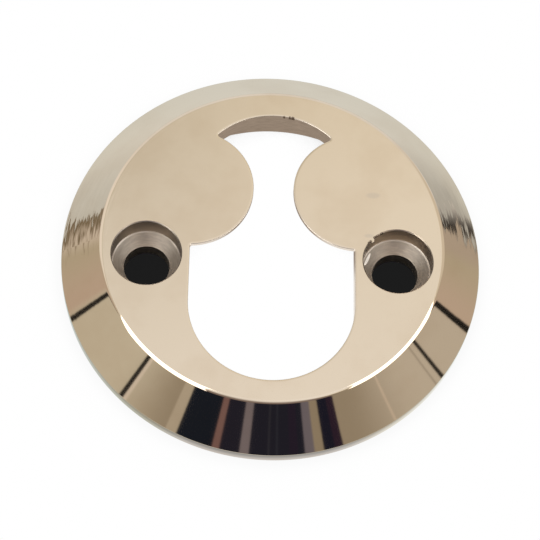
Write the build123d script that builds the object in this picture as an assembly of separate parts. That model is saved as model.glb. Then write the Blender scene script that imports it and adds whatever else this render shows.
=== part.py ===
from build123d import *
import os

os.makedirs("parts", exist_ok=True)

# Ring body: flat face, wide bevel from it out to a low upright rim
outer_diameter = 55.0
height = 6.8
rim_height = 1.9
face_land = 3.0
face_edge_radius = 0.75
rim_edge_radius = 0.2
back_edge_break = 0.25

# Oval pocket that takes the head of the lock cylinder
oval_width = 21.4
oval_length = 38.0
oval_drop = 0.2

# Thin round webs that hold the cylinder back, with a neck between them
web_thickness = 0.6
lobe_radius = 8.4
lobe_height = 7.8
neck_width = 5.25
corner_radius = 0.35
opening_edge_break = 0.12

# Hollow back behind the front wall
front_wall = 2.65
cavity_clearance = 0.9
cavity_corner_radius = 0.6

# Two counterbored and countersunk screw holes on bosses
screw_wall = 1.05
screw_drop = 2.1
counterbore_diameter = 9.0
counterbore_depth = 2.8
screw_hole_diameter = 6.0
boss_wall = 0.7
boss_setback = 0.5
rim_break = 0.12

# Reach of a cutting shape past the face it opens
overshoot = 1.0

outer_radius = outer_diameter / 2
oval_reach = oval_length / 2 + oval_drop
face_radius = oval_reach + face_land
cavity_radius = oval_reach + cavity_clearance
ceiling_height = height - front_wall
web_back_height = height - web_thickness
lobe_spacing = neck_width + 2 * lobe_radius
counterbore_radius = counterbore_diameter / 2
screw_hole_radius = screw_hole_diameter / 2
screw_spacing = oval_width + counterbore_diameter + 2 * screw_wall
seat_height = height - counterbore_depth
seat_depth = counterbore_radius - screw_hole_radius
boss_radius = counterbore_radius + boss_wall
screw_places = [(-screw_spacing / 2, -screw_drop), (screw_spacing / 2, -screw_drop)]


def corner(sketch, radius, level):
    return sketch.vertices().sort_by_distance((radius, level, 0))[0]


with BuildPart() as ring:
    # Turned body with its hollow back
    with BuildSketch(Plane.XZ) as section:
        with BuildLine():
            Polyline(
                (0, height),
                (face_radius, height),
                (outer_radius, rim_height),
                (outer_radius, 0),
                (cavity_radius, 0),
                (cavity_radius, ceiling_height),
                (0, ceiling_height),
                close=True,
            )
        make_face()
        fillet(corner(section, face_radius, height), face_edge_radius)
        fillet(corner(section, outer_radius, rim_height), rim_edge_radius)
        fillet(corner(section, cavity_radius, ceiling_height), cavity_corner_radius)
        chamfer(corner(section, outer_radius, 0), back_edge_break)
        chamfer(corner(section, cavity_radius, 0), back_edge_break)
    revolve(axis=Axis.Z)

    # Screw bosses, each run out to the side wall of the hollow
    boss_level = Plane.XY.offset(boss_setback)
    with BuildSketch(boss_level) as bosses:
        with Locations(*screw_places):
            Circle(boss_radius)
        for place, side in zip(screw_places, (-1, 1)):
            with Locations((place[0] + side * boss_radius / 2, place[1])):
                Rectangle(boss_radius, 2 * boss_radius)
        Circle(cavity_radius + back_edge_break, mode=Mode.INTERSECT)
    extrude(amount=ceiling_height - boss_setback)

    # Oval pocket from the back up to the webs
    with BuildSketch(Plane.XY.offset(-overshoot)) as pocket:
        with Locations((0, -oval_drop)):
            SlotOverall(oval_length, oval_width, rotation=90)
    extrude(amount=overshoot + web_back_height, mode=Mode.SUBTRACT)

    # Front opening: the oval less the two lobes of the web
    with BuildSketch(Plane.XY.offset(ceiling_height)) as opening:
        with Locations((0, -oval_drop)):
            SlotOverall(oval_length, oval_width, rotation=90)
        with Locations((-lobe_spacing / 2, lobe_height), (lobe_spacing / 2, lobe_height)):
            Circle(lobe_radius, mode=Mode.SUBTRACT)
        lobe_ends = opening.vertices().sort_by(Axis.Y)[2:]
        fillet(lobe_ends, corner_radius)
    extrude(amount=front_wall + overshoot, mode=Mode.SUBTRACT)

    # Screw holes: counterbore, countersunk seat, clearance hole
    with BuildSketch(Plane.XZ) as screw_hole:
        with BuildLine():
            Polyline(
                (0, height + overshoot),
                (counterbore_radius + rim_break + overshoot, height + overshoot),
                (counterbore_radius, height - rim_break),
                (counterbore_radius, seat_height),
                (screw_hole_radius, seat_height - seat_depth),
                (screw_hole_radius, -overshoot),
                (0, -overshoot),
                close=True,
            )
        make_face()
    screw_cutter = revolve(axis=Axis.Z, mode=Mode.PRIVATE)
    with Locations(*screw_places):
        add(screw_cutter, mode=Mode.SUBTRACT)

    # Broken front edge round the opening
    front_face = ring.faces().filter_by(Axis.Z).sort_by(Axis.Z)[-1]
    opening_edge = front_face.inner_wires().sort_by(SortBy.LENGTH)[-1]
    chamfer(opening_edge.edges(), opening_edge_break)

ring.part.label = "cylinder_ring"
export_step(ring.part, "parts/cylinder_ring.step")
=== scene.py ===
import math

import bpy
from mathutils import Matrix, Vector


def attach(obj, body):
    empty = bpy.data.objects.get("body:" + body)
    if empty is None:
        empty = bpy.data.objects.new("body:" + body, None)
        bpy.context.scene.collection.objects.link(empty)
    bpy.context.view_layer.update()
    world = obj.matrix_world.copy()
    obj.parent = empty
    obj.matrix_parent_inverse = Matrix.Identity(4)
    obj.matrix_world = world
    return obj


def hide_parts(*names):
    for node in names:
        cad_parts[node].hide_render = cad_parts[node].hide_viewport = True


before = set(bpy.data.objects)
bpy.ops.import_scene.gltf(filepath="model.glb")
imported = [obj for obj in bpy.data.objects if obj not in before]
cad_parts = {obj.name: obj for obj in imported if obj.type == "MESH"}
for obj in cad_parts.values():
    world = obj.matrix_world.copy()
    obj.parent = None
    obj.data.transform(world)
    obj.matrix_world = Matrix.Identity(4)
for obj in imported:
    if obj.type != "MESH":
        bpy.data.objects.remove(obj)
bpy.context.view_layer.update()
mm = 0.001
weld = 0.001 * mm  # points closer than this are one


class Wire:
    def __init__(self, tree, socket=None):
        self.tree = tree
        self.socket = socket

    def node(self, kind, settings=None, inputs=None, out=0):
        made = self.tree.nodes.new(kind)
        for name, value in (settings or {}).items():
            setattr(made, name, value)
        for name, value in (inputs or {}).items():
            if isinstance(value, Wire):
                self.tree.links.new(value.socket, made.inputs[name])
            else:
                made.inputs[name].default_value = value
        return Wire(self.tree, made.outputs[out] if made.outputs else None)

    def maths(self, operation, first, second=0.0):
        return self.node("ShaderNodeMath", {"operation": operation}, {0: first, 1: second})

    def __add__(self, other):
        return self.maths("ADD", self, other)

    def __radd__(self, other):
        return self.maths("ADD", other, self)

    def __sub__(self, other):
        return self.maths("SUBTRACT", self, other)

    def __rsub__(self, other):
        return self.maths("SUBTRACT", other, self)

    def __mul__(self, other):
        return self.maths("MULTIPLY", self, other)

    def __rmul__(self, other):
        return self.maths("MULTIPLY", other, self)

    def __truediv__(self, other):
        return self.maths("DIVIDE", self, other)

    def __pow__(self, other):
        return self.maths("POWER", self, other)

    def __neg__(self):
        return self.maths("MULTIPLY", self, -1.0)

    def __abs__(self):
        return self.maths("ABSOLUTE", self)

    def least(self, other):
        return self.maths("MINIMUM", self, other)

    def most(self, other):
        return self.maths("MAXIMUM", self, other)

    def ramp(self, start, end, low=0.0, high=1.0):
        values = {"Value": self, "From Min": start, "From Max": end, "To Min": low, "To Max": high}
        return self.node("ShaderNodeMapRange", {"interpolation_type": "SMOOTHSTEP"}, values)

    def fade(self, start, end):
        return self.ramp(start, end, 1.0, 0.0)

    def band(self, start, full, wane, end):
        return self.ramp(start, full) * self.fade(wane, end)

    def tint(self, low, high):
        colours = [c if isinstance(c, Wire) else (*c, 1.0) for c in (low, high)]
        inputs = {0: self, 6: colours[0], 7: colours[1]}
        return self.node("ShaderNodeMix", {"data_type": "RGBA"}, inputs, out=2)

    def shade(self, amount):
        grey = self.node("ShaderNodeCombineColor", None, {0: amount, 1: amount, 2: amount})
        mix = {"data_type": "RGBA", "blend_type": "MULTIPLY"}
        return self.node("ShaderNodeMix", mix, {0: 1.0, 6: self, 7: grey}, out=2)

    def colour(self, rgb):
        made = self.node("ShaderNodeRGB")
        made.socket.default_value = (*rgb, 1.0)
        return made

    def vector(self, x, y, z):
        return self.node("ShaderNodeCombineXYZ", None, {0: x, 1: y, 2: z})

    def parts(self):
        split = self.node("ShaderNodeSeparateXYZ", None, {0: self}).socket.node
        return [Wire(self.tree, split.outputs[i]) for i in range(3)]

    def noise(self, place, scale, detail, roughness):
        inputs = {"Vector": place, "Scale": scale, "Detail": detail, "Roughness": roughness}
        return self.node("ShaderNodeTexNoise", None, inputs)


def distance(offX, offY):
    return (offX * offX + offY * offY) ** 0.5


# Modelling helpers, with sizes in millimetres

def only(obj):
    bpy.ops.object.select_all(action="DESELECT")
    obj.select_set(True)
    bpy.context.view_layer.objects.active = obj


def drawLoop(name, points):
    bpy.ops.object.select_all(action="DESELECT")
    bpy.ops.mesh.primitive_plane_add(size=mm, location=(0, 0, 0))
    obj = bpy.context.object
    obj.name = name
    bpy.ops.object.mode_set(mode="EDIT")
    bpy.ops.mesh.select_all(action="SELECT")
    bpy.ops.mesh.merge(type="CENTER")
    bpy.ops.transform.translate(value=[value * mm for value in points[0]])
    for here, there in zip(points, points[1:] + points[:1]):
        step = [(b - a) * mm for a, b in zip(here, there)]
        bpy.ops.mesh.extrude_region_move(TRANSFORM_OT_translate={"value": step})
    bpy.ops.mesh.select_all(action="SELECT")
    bpy.ops.mesh.remove_doubles(threshold=weld)
    return obj


def spinLoop(steps):
    bpy.ops.mesh.select_all(action="SELECT")
    bpy.ops.mesh.spin(steps=steps, angle=2 * math.pi, center=(0, 0, 0), axis=(0, 0, 1))
    bpy.ops.mesh.select_all(action="SELECT")
    bpy.ops.mesh.remove_doubles(threshold=weld)
    bpy.ops.mesh.normals_make_consistent(inside=False)
    bpy.ops.object.mode_set(mode="OBJECT")


def liftLoop(rise):
    bpy.ops.mesh.select_all(action="SELECT")
    bpy.ops.mesh.edge_face_add()
    bpy.ops.mesh.extrude_region_move(TRANSFORM_OT_translate={"value": (0, 0, rise * mm)})
    bpy.ops.mesh.select_all(action="SELECT")
    bpy.ops.mesh.normals_make_consistent(inside=False)
    bpy.ops.object.mode_set(mode="OBJECT")


def join(base, other, operation):
    only(base)
    cut = base.modifiers.new("join", "BOOLEAN")
    cut.operation = operation
    cut.solver = "EXACT"
    cut.object = other
    bpy.ops.object.modifier_apply(modifier=cut.name)
    bpy.data.objects.remove(other)


def pebble(place, size, stretch, swing):
    at = [value * mm for value in place]
    bpy.ops.object.select_all(action="DESELECT")
    bpy.ops.mesh.primitive_ico_sphere_add(subdivisions=1, radius=size * mm, location=at)
    bpy.ops.transform.resize(value=stretch)
    bpy.ops.transform.rotate(value=-swing, orient_axis="Z", center_override=at)
    bpy.ops.object.transform_apply(location=True, rotation=True, scale=True)
    return bpy.context.object


def arc(centre, radius, start, end, steps):
    angles = [math.radians(start + (end - start) * i / steps) for i in range(steps + 1)]
    return [(centre[0] + radius * math.cos(a), centre[1] + radius * math.sin(a)) for a in angles]


def turn(base, tip):
    return math.degrees(math.atan2(tip[1] - base[1], tip[0] - base[0])) % 360


# The ring, turned, cut and polished
ring = {
    "outer": 27.485, "height": 6.8, "rim": 1.9, "face": 22.2, "faceRound": 0.75, "rimRound": 0.2,
    "backBreak": 0.25, "hollow": 20.1, "ceiling": 4.15, "hollowRound": 0.6, "core": 1.0, "steps": 288,
    "ovalRadius": 10.7, "ovalLow": -8.5, "ovalHigh": 8.1, "webBack": 6.2,
    "lobe": (11.025, 7.8), "lobeRadius": 8.4, "cornerRound": 0.35,
    "softEdge": (0.30, 0.025), "softFoot": 0.04, "lip": 0.005, "lead": 0.3,
    "screw": (16.25, -2.1), "bore": 4.5, "seat": 4.0, "hole": 3.0, "edgeBreak": 0.12,
    "drillRise": 0.5, "drillSteps": 120, "boss": 5.2, "bossFoot": 0.5, "bossSink": 0.5, "past": 1.0,
    "nicks": [
        (1.25, 18.74, 0.10), (2.02, 18.68, 0.13), (2.42, 18.58, 0.17), (12.52, 0.32, 0.22),
        (12.72, 0.66, 0.16), (13.36, 1.22, 0.24), (13.62, 1.52, 0.16), (14.16, 1.86, 0.18),
    ],
    "nickStretch": (0.9, 1.5, 0.9), "nickSwing": (0.7, 5.0),
    "burr": [(12.55, 0.98), (12.66, 0.62), (12.92, 0.44), (13.16, 0.60), (13.18, 0.95), (12.95, 1.25)],
    "burrDeep": 0.22, "flatWithin": 0.05, "smoothBelow": 25, "evenWeight": 50,
}


def ringSection(r):
    top, faceRound, rimRound, hollowRound = r["height"], r["faceRound"], r["rimRound"], r["hollowRound"]
    tilt = math.degrees(math.atan2(top - r["rim"], r["outer"] - r["face"]))
    faceIn = r["face"] - faceRound * math.tan(math.radians(tilt / 2))
    rimDrop = rimRound * math.tan(math.radians(45 - tilt / 2))
    section = [(r["core"], top)]
    section += arc((faceIn, top - faceRound), faceRound, 90, 90 - tilt, steps=12)
    section += arc((r["outer"] - rimRound, r["rim"] - rimDrop), rimRound, 90 - tilt, 0, steps=8)
    section += [(r["outer"], r["backBreak"]), (r["outer"] - r["backBreak"], 0)]
    section += [(r["hollow"] + r["backBreak"], 0), (r["hollow"], r["backBreak"])]
    section += arc((r["hollow"] - hollowRound, r["ceiling"] - hollowRound), hollowRound, 0, 90, steps=8)
    section += [(r["core"], r["ceiling"])]
    return [(radius, 0, level) for radius, level in section]


def openingOutline(r, grow):
    lobe, corner = r["lobe"], r["cornerRound"]
    low, high = (0, r["ovalLow"]), (0, r["ovalHigh"])
    reach = r["lobeRadius"] + corner
    sideX = r["ovalRadius"] - corner
    side = (sideX, lobe[1] - math.sqrt(reach ** 2 - (lobe[0] - sideX) ** 2))
    gap = math.dist(high, lobe)
    along = (sideX ** 2 - reach ** 2 + gap ** 2) / (2 * gap)
    across = math.sqrt(sideX ** 2 - along ** 2)
    ux, uy = lobe[0] / gap, (lobe[1] - high[1]) / gap
    tip = (high[0] + ux * along - uy * across, high[1] + uy * along + ux * across)
    half = arc(low, r["ovalRadius"] + grow, 270, 360, steps=48)
    half += arc(side, corner + grow, 0, turn(side, lobe), steps=10)
    half += arc(lobe, r["lobeRadius"] - grow, turn(lobe, side), turn(lobe, tip), steps=72)
    tipStart, tipEnd = turn(tip, lobe), turn(high, tip)
    tipStop = tipEnd if tipEnd > tipStart else tipEnd + 360
    half += arc(tip, corner + grow, tipStart, tipStop, steps=14)
    half += arc(high, r["ovalRadius"] + grow, tipEnd, 90, steps=36)
    return half + [(-x, y) for x, y in reversed(half[1:-1])]


def ovalOutline(r):
    half = arc((0, r["ovalLow"]), r["ovalRadius"], 270, 360, steps=48)
    half += arc((0, r["ovalHigh"]), r["ovalRadius"], 0, 90, steps=48)
    return half + [(-x, y) for x, y in reversed(half[1:-1])]


def openingCutter(r):
    top, webBack, lead, softFoot = r["height"], r["webBack"], r["lead"], r["softFoot"]
    wide, deep = r["softEdge"]
    opening = drawLoop("opening", [(x, y, webBack - lead) for x, y in openingOutline(r, -lead)])
    bpy.ops.object.mode_set(mode="OBJECT")
    levels = [
        (webBack, -r["lip"]), (top - deep - softFoot, -r["lip"]), (top - deep, softFoot),
        (top + deep / 3, wide + (wide - softFoot) / 3),
    ]
    for level, grow in levels:
        drawLoop("level", [(x, y, level) for x, y in openingOutline(r, grow)])
        bpy.ops.object.mode_set(mode="OBJECT")
        opening.select_set(True)
        bpy.context.view_layer.objects.active = opening
        bpy.ops.object.join()
    only(opening)
    bpy.ops.object.mode_set(mode="EDIT")
    bpy.ops.mesh.select_all(action="SELECT")
    bpy.ops.mesh.bridge_edge_loops()
    bpy.ops.mesh.select_all(action="DESELECT")
    bpy.ops.mesh.select_non_manifold()
    bpy.ops.mesh.fill_holes(sides=0)
    bpy.ops.mesh.select_all(action="SELECT")
    bpy.ops.mesh.normals_make_consistent(inside=False)
    bpy.ops.object.mode_set(mode="OBJECT")
    return opening


def buildRing(r):
    body = drawLoop("polished_ring", ringSection(r))
    spinLoop(r["steps"])
    top, screw, past = r["height"], r["screw"], r["past"]
    bore, hole, boss = r["bore"], r["hole"], r["boss"]

    # Screw bosses run out into the side wall
    for side in (1, -1):
        outline = arc(screw, boss, 90, 270, steps=40)
        outline += [(screw[0] + boss, screw[1] - boss), (screw[0] + boss, screw[1] + boss)]
        block = drawLoop("boss", [(side * x, y, r["bossFoot"]) for x, y in outline])
        liftLoop(r["ceiling"] + r["bossSink"] - r["bossFoot"])
        join(body, block, "UNION")

    # Oval pocket from the back
    pocket = drawLoop("pocket", [(x, y, -past) for x, y in ovalOutline(r)])
    liftLoop(past + r["webBack"])
    join(body, pocket, "DIFFERENCE")

    # Front opening with its flared edge, a hair smaller than the pocket so that no walls coincide
    join(body, openingCutter(r), "DIFFERENCE")

    # Screw holes: counterbore with a broken edge, countersunk seat, clearance hole
    drillTop, flare = top + r["drillRise"], r["drillRise"] + r["edgeBreak"]
    section = [(0, drillTop), (bore + flare, drillTop), (bore, top - r["edgeBreak"]), (bore, r["seat"])]
    section += [(hole, r["seat"] - bore + hole), (hole, -past), (0, -past)]
    for side in (1, -1):
        drill = drawLoop("drill", [(radius, 0, level) for radius, level in section])
        spinLoop(r["drillSteps"])
        only(drill)
        bpy.ops.transform.translate(value=(side * screw[0] * mm, screw[1] * mm, 0))
        bpy.ops.object.transform_apply(location=True, rotation=True, scale=True)
        if side == 1:  # the drill leaves a burr on the right rim
            burr = drawLoop("burr", [(x, y, top - r["burrDeep"]) for x, y in r["burr"]])
            liftLoop(r["burrDeep"] + past)
            join(drill, burr, "DIFFERENCE")
        join(body, drill, "DIFFERENCE")

    # Small nicks beside the burr and in the edge of the crescent
    swing, swingStep = r["nickSwing"]
    for x, y, size in r["nicks"]:
        nick = pebble((x, y, top), size, r["nickStretch"], swing + swingStep * x)
        join(body, nick, "DIFFERENCE")

    only(body)
    bpy.ops.object.mode_set(mode="EDIT")
    bpy.ops.mesh.select_all(action="SELECT")
    bpy.ops.mesh.remove_doubles(threshold=2 * weld)
    bpy.ops.mesh.dissolve_limited(angle_limit=math.radians(r["flatWithin"]))
    bpy.ops.mesh.normals_make_consistent(inside=False)
    bpy.ops.object.mode_set(mode="OBJECT")
    bpy.ops.object.shade_smooth_by_angle(angle=math.radians(r["smoothBelow"]))
    even = body.modifiers.new("even", "WEIGHTED_NORMAL")
    even.mode = "FACE_AREA"
    even.weight = r["evenWeight"]
    even.keep_sharp = True
    bpy.ops.object.modifier_apply(modifier=even.name)
    print("ring built", len(body.data.vertices), "points", len(body.data.polygons), "faces")
    return body


# Nickel: mirror polish outside, duller in the cuts and at the back
nickel = {
    "polish": (0.77, 0.645, 0.50), "cloud": (0.73, 0.60, 0.455),
    "cut": (0.86, 0.765, 0.66), "grain": (0.70, 0.62, 0.53),
    "shine": 0.05, "dull": 0.32, "drilled": 0.52, "cloudy": 0.03, "blend": 0.1,
    "buffFrom": (21.0, 21.6), "faceLean": (0.9, 0.98), "backLean": (-0.6, -0.4),
    "cloudScale": 110.0, "cloudSpread": (0.3, 0.6), "detail": 3.0, "mottle": 0.6,
    "grainScale": (0.8, 5.0), "grainSpread": (0.3, 0.7),
    # Bore walls and seats carry painted shade toward their ends, and the seats a painted highlight along
    # their edge
    "leftBore": (0.83, 0.73, 0.63), "rightBore": (0.93, 0.79, 0.64), "boreShadeFrom": 2.4, "boreEndShade": 0.27,
    "seat": (0.54, 0.475, 0.41), "seatLean": (0.45, 0.6, 0.8, 0.9),
    "seatSpread": (0.25, 0.75), "seatShade": (1.2, 3.8, 0.93, 0.63),
    "seatHighlight": (0.80, 0.73, 0.65), "edgeDrop": 0.05, "edgeHalf": (0.05, 0.16), "edgeSpread": (0.42, 0.56),
    # Painted shade darkens the inside of the nicks
    "nickShade": (0.24, 0.185, 0.14), "nickShadeReach": (1.1, 1.5), "nickShadeSkin": (0.015, 0.003),
    "smudges": [(12.62, 1.41, 0.5), (13.11, 7.36, 0.7)],
    "smudgeFlat": 2.2, "smudgeRagged": 2.0, "smudgeReach": (0.3, 1.4), "smudgeDark": 0.35,
    "streak": 0.09, "lineScale": (2.8, 7.0), "lineDetail": 2.0,
    "flanks": (0.84, 0.96, 0.25, 1.0), "leftFlank": (-0.985, -0.93, 1.5, 1.0),
    "dip": 0.02, "dipBand": (24.3, 24.8, 25.1, 25.6), "dipFlank": (0.90, 0.96),
    "glint": (12.55, -0.45), "glintWay": (0.41, 0.91), "glintHalf": (1.0, 0.17), "glintRim": 0.85,
    "glintFacing": (0.0, -0.226, 0.974), "glintShine": 0.6,
}


def makeNickel(n, r):
    material = bpy.data.materials.new("nickel plated brass")
    material.use_nodes = True
    tree = material.node_tree
    tree.nodes.clear()
    kit = Wire(tree)
    place = kit.node("ShaderNodeTexCoord", out=3)
    normal = kit.node("ShaderNodeNewGeometry", out=1)
    x, y, z = [axis / mm for axis in place.parts()]
    facing = normal.parts()[2]
    radius = distance(x, y)
    top, bore, seat, screw, blend = r["height"], r["bore"], r["seat"], r["screw"], n["blend"]

    # Polished where the buff reaches: the face, the bevel and the rim
    outside = radius.ramp(*n["buffFrom"])
    face = facing.ramp(*n["faceLean"])
    polished = outside.most(face) * facing.ramp(*n["backLean"])

    # Face clouds, grain along the cut walls; bore walls with painted shade toward their ends; dull drilled
    # seats with painted shade toward their sides and a painted highlight along their edge
    cloud = kit.noise(place, n["cloudScale"], n["detail"], n["mottle"])
    shiny = cloud.ramp(*n["cloudSpread"]).tint(n["cloud"], n["polish"])
    flat, upright = n["grainScale"]
    grain = kit.noise(kit.vector(x * flat, y * flat, z * upright), 1.0, n["detail"], n["mottle"])
    wall = grain.ramp(*n["grainSpread"]).tint(n["grain"], n["cut"])
    holeX, holeY = abs(x) - screw[0], y - screw[1]
    fromHole = distance(holeX, holeY)
    # The right bore wall is tinted lighter than the left; both are painted darker toward their ends as
    # shade
    boreTint = x.ramp(-1.0, 1.0).tint(n["leftBore"], n["rightBore"])
    boreTint = boreTint.shade(abs(holeX).ramp(n["boreShadeFrom"], bore, 1.0, n["boreEndShade"]))
    inBore = fromHole.fade(bore + 2 * blend, bore + 5 * blend) * z.ramp(seat - blend, seat + blend)
    wall = inBore.tint(wall, boreTint)
    onSeat = facing.band(*n["seatLean"]) * z.fade(seat + 2 * blend, seat + 4 * blend)
    # Painted highlight: a lighter band along the top edge of each seat; the seats are also painted darker
    # toward their sides as shade
    edge = abs(z - (seat - n["edgeDrop"])).fade(*n["edgeHalf"]) * cloud.ramp(*n["edgeSpread"])
    seatTint = grain.ramp(*n["seatSpread"]).tint(n["seat"], n["grain"])
    seatTint = seatTint.shade(abs(holeX).ramp(*n["seatShade"]))
    seatTint = edge.tint(seatTint, n["seatHighlight"])
    rough = polished * (n["shine"] - n["dull"]) + n["dull"] + (0.5 - cloud) * n["cloudy"]
    rough = rough + onSeat * (1.0 - polished) * (n["drilled"] - n["dull"])
    colour = polished.tint(onSeat.tint(wall, seatTint), shiny)

    # Painted shade in the nicks, faint smudges on the face
    below = [top - 5 * blend, top - 4 * blend, *[top - skin for skin in n["nickShadeSkin"]]]
    for nickX, nickY, size in r["nicks"]:
        near = distance(x - nickX, y - nickY).fade(*[size * share for share in n["nickShadeReach"]])
        colour = (near * z.band(*below)).tint(colour, n["nickShade"])
    for smudgeX, smudgeY, size in n["smudges"]:
        off = distance(x - smudgeX, (y - smudgeY) * n["smudgeFlat"]) + (cloud - 0.5) * n["smudgeRagged"]
        near = off.ramp(*[size * share for share in n["smudgeReach"]], n["smudgeDark"], 0.0)
        colour = (near * face).tint(colour, n["seat"])

    # Ring-shaped polishing lines tip the flanks of the bevel a little
    sideX, sideY = x / radius, y / radius
    around = kit.maths("ARCTAN2", y, x)
    lines = kit.vector(radius * n["lineScale"][0], around * n["lineScale"][1], 0.0)
    flanks = abs(sideX).ramp(*n["flanks"]) * sideX.ramp(*n["leftFlank"])
    tipping = (kit.noise(lines, 1.0, n["lineDetail"], n["mottle"]) - 0.5) * n["streak"] * outside * flanks
    tipping = tipping - radius.band(*n["dipBand"]) * sideX.ramp(*n["dipFlank"]) * n["dip"]
    outward = kit.vector(sideX, sideY, 0.0)
    lean = kit.node("ShaderNodeVectorMath", {"operation": "SCALE"}, {0: outward, "Scale": tipping})
    leant = kit.node("ShaderNodeVectorMath", {"operation": "ADD"}, {0: normal, 1: lean})

    # Glint on the right seat: the normal there is tipped up and the roughness lowered, and its colour is
    # lightened as a painted highlight
    spot, way, half = n["glint"], n["glintWay"], n["glintHalf"]
    offX, offY = x - spot[0], y - spot[1]
    along = (offX * way[0] + offY * way[1]) / half[0]
    across = (offX * way[1] - offY * way[0]) / half[1]
    glintPatch = distance(along, across).fade(n["glintRim"], 1.0) * z.fade(seat + blend, seat + 3 * blend)
    rough = rough * (1.0 - glintPatch * n["glintShine"])
    colour = glintPatch.tint(colour, n["grain"])
    inputs = {0: glintPatch, 4: leant, 5: n["glintFacing"]}
    leant = kit.node("ShaderNodeMix", {"data_type": "VECTOR"}, inputs, out=1)
    leant = kit.node("ShaderNodeVectorMath", {"operation": "NORMALIZE"}, {0: leant})

    inputs = {"Base Color": colour, "Roughness": rough, "Metallic": 1.0, "Normal": leant}
    surface = kit.node("ShaderNodeBsdfPrincipled", None, inputs)
    kit.node("ShaderNodeOutputMaterial", None, {"Surface": surface})
    return material


polishedRing = buildRing(ring)
polishedRing.data.materials.clear()
polishedRing.data.materials.append(makeNickel(nickel, ring))
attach(polishedRing, "root")
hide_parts("cylinder_ring")
print("nickel on the ring")

# Room the polish reflects: white sheet below and behind, warm walls, white ceiling, dark screen in front
# Angles in degrees: aside from the front, and rise above the floor
room = {
    "near": (0.35, 0.31, 0.25), "turn": (0.58, 0.49, 0.425), "far": (0.52, 0.48, 0.385),
    "leftSide": (0.64, 0.615, 0.535), "rightSide": (0.59, 0.555, 0.50),
    "leftBrink": (0.68, 0.625, 0.57), "rightBrink": (0.50, 0.445, 0.39),
    "leftUpper": (0.96, 0.94, 0.92), "rightUpper": (0.75, 0.70, 0.62),
    "leftBeam": (0.50, 0.44, 0.27), "rightBeam": (0.68, 0.61, 0.42),
    "leftFoot": (0.215, 0.175, 0.12), "rightFoot": (0.03, 0.026, 0.024),
    "screenTop": (0.25, 0.205, 0.195), "ceiling": (1.03, 1.05, 1.08),
    "backdrop": (0.90, 0.92, 0.95), "sheet": (0.90, 0.95, 0.97),
    "sideAside": (36.0, 68.0), "cornerAside": (93.0, 97.0), "turnAside": (97.0, 116.0),
    "brinkAside": (112.0, 118.0), "backdropAside": (124.0, 136.0), "screenAside": (30.0, 42.0),
    "ceilingRise": (44.0, 74.0), "screenCeilingRise": (46.0, 88.0), "screenTopRise": (27.0, 37.0),
    "beamRise": (50.0, 57.0), "beamTurn": (-0.05, 0.06), "ceilingTurn": (-0.08, 0.14),
    "ceilingLevels": (0.97, 0.99), "lowCeilingGain": (-0.09, 0.11), "lowCeilingRise": (61.0, 66.0),
    "upperRise": (8.0, 16.0, 54.0, 60.0), "upperAside": (106.0, 114.0, 146.0, 156.0),
    "sheetEdge": -3.2, "sheetBlur": 0.3, "sheetSlope": (121.0, 129.0, 3.6, 6.4),
    "sheetDepth": 14.0, "sheetLevels": (0.74, 0.92), "rightSheetDrop": 0.16,
    "leftFootRise": (-2.3, 1.0), "rightFootRise": (-7.0, -6.2), "blur": 0.4,
    "bars": [
        (-94.2, -92.2, (0.015, 0.015, 0.015)), (-61.2, -59.0, (0.012, 0.012, 0.012)),
        (-59.3, -57.8, (0.74, 0.69, 0.64)), (-39.5, -34.2, (0.50, 0.46, 0.39)),
        (-34.9, -19.2, (0.0115, 0.0155, 0.027)), (-20.0, -16.2, (0.22, 0.135, 0.134)),
        (-17.1, -8.2, (0.0185, 0.0185, 0.033)), (-9.0, -4.4, (0.205, 0.185, 0.22)),
        (-5.2, 18.0, (0.017, 0.018, 0.032)), (2.2, 3.0, (0.032, 0.034, 0.05)),
        (5.6, 6.3, (0.028, 0.032, 0.05)), (11.0, 14.4, (0.021, 0.0165, 0.034)),
        (17.1, 21.8, (0.17, 0.16, 0.205)), (20.9, 25.2, (0.32, 0.28, 0.22)),
        (24.6, 29.8, (0.013, 0.014, 0.03)), (29.0, 32.3, (0.029, 0.018, 0.036)),
        (53.7, 54.6, (0.64, 0.57, 0.50)), (73.5, 74.2, (0.40, 0.37, 0.33)),
        (76.5, 78.0, (0.012, 0.012, 0.012)), (94.1, 96.5, (0.015, 0.015, 0.015)),
    ],
}


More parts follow.
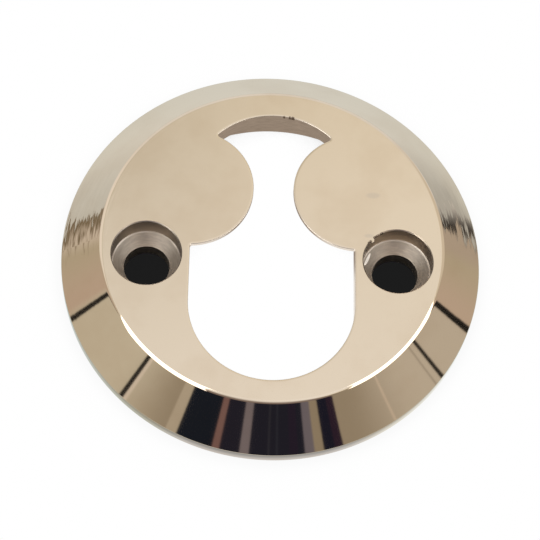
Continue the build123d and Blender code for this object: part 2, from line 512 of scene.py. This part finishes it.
def makeRoom(r):
    world = bpy.data.worlds.new("room")
    bpy.context.scene.world = world
    world.use_nodes = True
    tree = world.node_tree
    tree.nodes.clear()
    kit = Wire(tree)
    x, y, z = kit.node("ShaderNodeTexCoord", out=0).parts()
    swing = kit.maths("ARCTAN2", x, -y) * math.degrees(1)
    rise = kit.maths("ARCSINE", z) * math.degrees(1)
    aside, right, blur = abs(swing), swing.ramp(-1.0, 1.0), r["blur"]

    # Walls and the upright shapes in front of them
    side = aside.ramp(*r["sideAside"]).tint(r["near"], right.tint(r["leftSide"], r["rightSide"]))
    farther = aside.ramp(*r["turnAside"]).tint(r["turn"], r["far"])
    farther = aside.ramp(*r["brinkAside"]).tint(farther, right.tint(r["leftBrink"], r["rightBrink"]))
    wall = aside.ramp(*r["cornerAside"]).tint(side, farther)
    for start, end, colour in r["bars"]:
        inside = swing.band(start - blur, start + blur, end - blur, end + blur)
        wall = inside.tint(wall, colour)
    behind = aside.ramp(*r["backdropAside"])
    wall = behind.tint(wall, r["backdrop"])

    # Ceiling, brighter to the right; the screen stands high in front of it
    screen = aside.fade(*r["screenAside"])
    above = rise.ramp(*r["ceilingRise"]) * (1.0 - screen) + rise.ramp(*r["screenCeilingRise"]) * screen
    beam = x.ramp(*r["beamTurn"]).tint(r["leftBeam"], r["rightBeam"])
    wall = (rise.ramp(*r["beamRise"]) * (1.0 - screen)).tint(wall, beam)
    wall = (rise.ramp(*r["screenTopRise"]) * screen).tint(wall, r["screenTop"])
    low = rise.fade(*r["lowCeilingRise"])
    levels = [level + gain * low for level, gain in zip(r["ceilingLevels"], r["lowCeilingGain"])]
    bright = x.ramp(*r["ceilingTurn"], *levels)
    sky = above.tint(wall, kit.colour(r["ceiling"]).shade(bright))

    # Upper side walls, met only in the rounded edge of the face
    upper = rise.band(*r["upperRise"]) * aside.band(*r["upperAside"])
    sky = upper.tint(sky, right.tint(r["leftUpper"], r["rightUpper"]))

    # Sheet below, with a dark line where it ends on each side
    foot = behind.tint(right.tint(r["leftFoot"], r["rightFoot"]), r["backdrop"])
    clearOfFoot = right * rise.ramp(*r["rightFootRise"]) + (1.0 - right) * rise.ramp(*r["leftFootRise"])
    sky = clearOfFoot.tint(foot, sky)
    depth = r["sheetEdge"] - right * aside.ramp(*r["sheetSlope"]) - rise
    edgeLevel, deepLevel = r["sheetLevels"]
    level = depth.ramp(0.0, r["sheetDepth"], edgeLevel - r["rightSheetDrop"] * right, deepLevel)
    sheet = kit.colour(r["sheet"]).shade(level)
    sky = depth.ramp(-r["sheetBlur"], r["sheetBlur"]).tint(sky, sheet)

    # The camera itself sees plain white
    pictureRay = kit.node("ShaderNodeLightPath", out="Is Camera Ray")
    sky = pictureRay.tint(sky, (1.0, 1.0, 1.0))
    backing = kit.node("ShaderNodeBackground", None, {"Color": sky, "Strength": 1.0})
    kit.node("ShaderNodeOutputWorld", None, {"Surface": backing})
    print("room set")


makeRoom(room)

# White floor: the metal sees its tones near the ring, and the room's sheet farther out
table = {
    "span": 1.6, "drop": 0.02, "plain": (0.8, 0.8, 0.8), "near": (0.775, 0.825, 0.83),
    "rimFront": (0.77, 0.82, 0.91), "rimFrontTop": (0.30, 0.335, 0.385),
    "rimLeft": (0.64, 0.72, 0.72), "rimLeftTop": (0.28, 0.275, 0.225),
    "rimRight": (0.95, 1.02, 1.04), "rimRightTop": (0.37, 0.365, 0.33),
    # The crescent tone is painted shade on the floor under the ring
    "opening": (1.0, 1.0, 1.0), "crescent": (0.38, 0.325, 0.28), "crescentFrom": (-2.5, 1.5),
    "rimAside": (9.0, 17.0), "rimRise": (27.5, 28.3), "innerEnd": (24.0, 26.0), "nearFrom": (28.6, 31.0),
    "sheetFrom": (31.0, 44.0), "paintedHoleShade": (3.6, 4.4, 0.012, 1.0),
    "shadowFrom": (26.0, 27.0), "shadowReach": 30, "shadowSamples": 12,
    "shadow": (0.5, 0.95, 0.05, 0.0), "deepShadow": (0.02, 0.14, 0.5, 1.0),
}


def makeTable(t, screw):
    bpy.ops.object.select_all(action="DESELECT")
    bpy.ops.mesh.primitive_plane_add(size=t["span"], location=(0, 0, -t["drop"] * mm))
    floor = bpy.context.object
    floor.name = "floor"
    material = bpy.data.materials.new("white floor")
    material.use_nodes = True
    tree = material.node_tree
    tree.nodes.clear()
    kit = Wire(tree)
    x, y = [axis / mm for axis in kit.node("ShaderNodeTexCoord", out=3).parts()[:2]]
    away = distance(x, y)
    # Painted shade: a dark disc on the floor under each screw hole
    paintedHoleShade = distance(abs(x) - screw[0], y - screw[1]).ramp(*t["paintedHoleShade"])

    # What the camera sees: white, with a painted soft shadow beside the ring, painted shade in the opening,
    # and painted dark shade under the screw holes
    reach = {"Distance": t["shadowReach"] * mm}
    light = kit.node("ShaderNodeAmbientOcclusion", {"samples": t["shadowSamples"]}, reach, out=1)
    beside = 1.0 - away.ramp(*t["shadowFrom"]) * light.ramp(*t["shadow"])
    lit = light.ramp(*t["deepShadow"]) * paintedHoleShade * beside
    grey = kit.node("ShaderNodeCombineColor", None, {0: lit, 1: lit, 2: lit})
    pictured = kit.node("ShaderNodeEmission", None, {"Color": grey, "Strength": 1.0})

    # What the polish sees: tones that the rim, the crescent and the bevel mirror, with painted shade on the
    # floor under the crescent and under the screw holes
    aside, right = abs(x).ramp(*t["rimAside"]), x.ramp(-1.0, 1.0)
    rimFoot = aside.tint(t["rimFront"], right.tint(t["rimLeft"], t["rimRight"]))
    rimTop = aside.tint(t["rimFrontTop"], right.tint(t["rimLeftTop"], t["rimRightTop"]))
    outer = away.ramp(*t["rimRise"]).tint(rimFoot, rimTop)
    outer = away.ramp(*t["nearFrom"]).tint(outer, t["near"])
    inner = y.ramp(*t["crescentFrom"]).tint(t["opening"], t["crescent"])
    seen = away.ramp(*t["innerEnd"]).tint(inner, outer).shade(paintedHoleShade)
    tones = kit.node("ShaderNodeEmission", None, {"Color": seen, "Strength": 1.0})
    clear = kit.node("ShaderNodeBsdfTransparent")
    mirrored = kit.node("ShaderNodeMixShader", None, {0: away.ramp(*t["sheetFrom"]), 1: tones, 2: clear})

    plain = kit.node("ShaderNodeBsdfDiffuse", None, {"Color": (*t["plain"], 1.0)})
    rays = kit.node("ShaderNodeLightPath").socket.node
    names = ("Is Camera Ray", "Is Glossy Ray", "Is Transmission Ray")
    pictureRay, glossyRay, throughRay = [Wire(tree, rays.outputs[name]) for name in names]
    polishRay = (glossyRay + throughRay).least(1.0)
    other = kit.node("ShaderNodeMixShader", None, {0: polishRay, 1: plain, 2: mirrored})
    surface = kit.node("ShaderNodeMixShader", None, {0: pictureRay, 1: other, 2: pictured})
    kit.node("ShaderNodeOutputMaterial", None, {"Surface": surface})
    floor.data.materials.append(material)
    print("floor laid")


makeTable(table, ring["screw"])

# Two long soft boxes, left and right, leaning over the ring
# Each has its aim, its way along, and its half width and reach in degrees
lamps = {
    "left": {
        "aim": (-0.7255, -0.6134, 0.3140), "along": (0.058, 0.400, 0.914),
        "half": 21.3, "reach": (10.0, 76.0),
    },
    "right": {
        "aim": (0.8487, -0.4963, 0.1828), "along": (0.0262, 0.3845, 0.9228),
        "half": 23.6, "reach": (20.0, 76.0),
    },
    "away": 0.6, "glow": 2.3,
}


def makeLamps(spec):
    away = spec["away"]
    for name in ("left", "right"):
        box = spec[name]
        aim, along = Vector(box["aim"]).normalized(), Vector(box["along"]).normalized()
        low, high = [away * math.tan(math.radians(angle)) for angle in box["reach"]]
        width = 2 * away * math.tan(math.radians(box["half"]))
        bpy.ops.object.select_all(action="DESELECT")
        bpy.ops.object.light_add(type="AREA", location=aim * away + along * (low + high) / 2)
        lamp = bpy.context.object
        lamp.name = name + "Lamp"
        lamp.data.shape = "RECTANGLE"
        lamp.data.size, lamp.data.size_y = high - low, width
        lamp.data.energy = spec["glow"] * math.pi * width * (high - low)
        lamp.rotation_euler = Matrix((along, aim.cross(along), aim)).transposed().to_euler()
    print("lamps hung")


makeLamps(lamps)

# Camera found from the edges in the photograph
view = {
    "at": (-9.280, -114.435, 238.603), "turned": (25.42342, -2.65602, 0.91687),
    "lens": 133.333, "sensor": 36.0, "clip": 10,
}
bpy.ops.object.select_all(action="DESELECT")
bpy.ops.object.camera_add(location=[value * mm for value in view["at"]])
camera = bpy.context.object
camera.rotation_euler = [math.radians(value) for value in view["turned"]]
camera.data.lens = view["lens"]
camera.data.sensor_width = view["sensor"]
camera.data.clip_start = view["clip"] * mm
bpy.context.scene.camera = camera
bpy.context.scene.view_settings.view_transform = "Standard"
print("camera set")
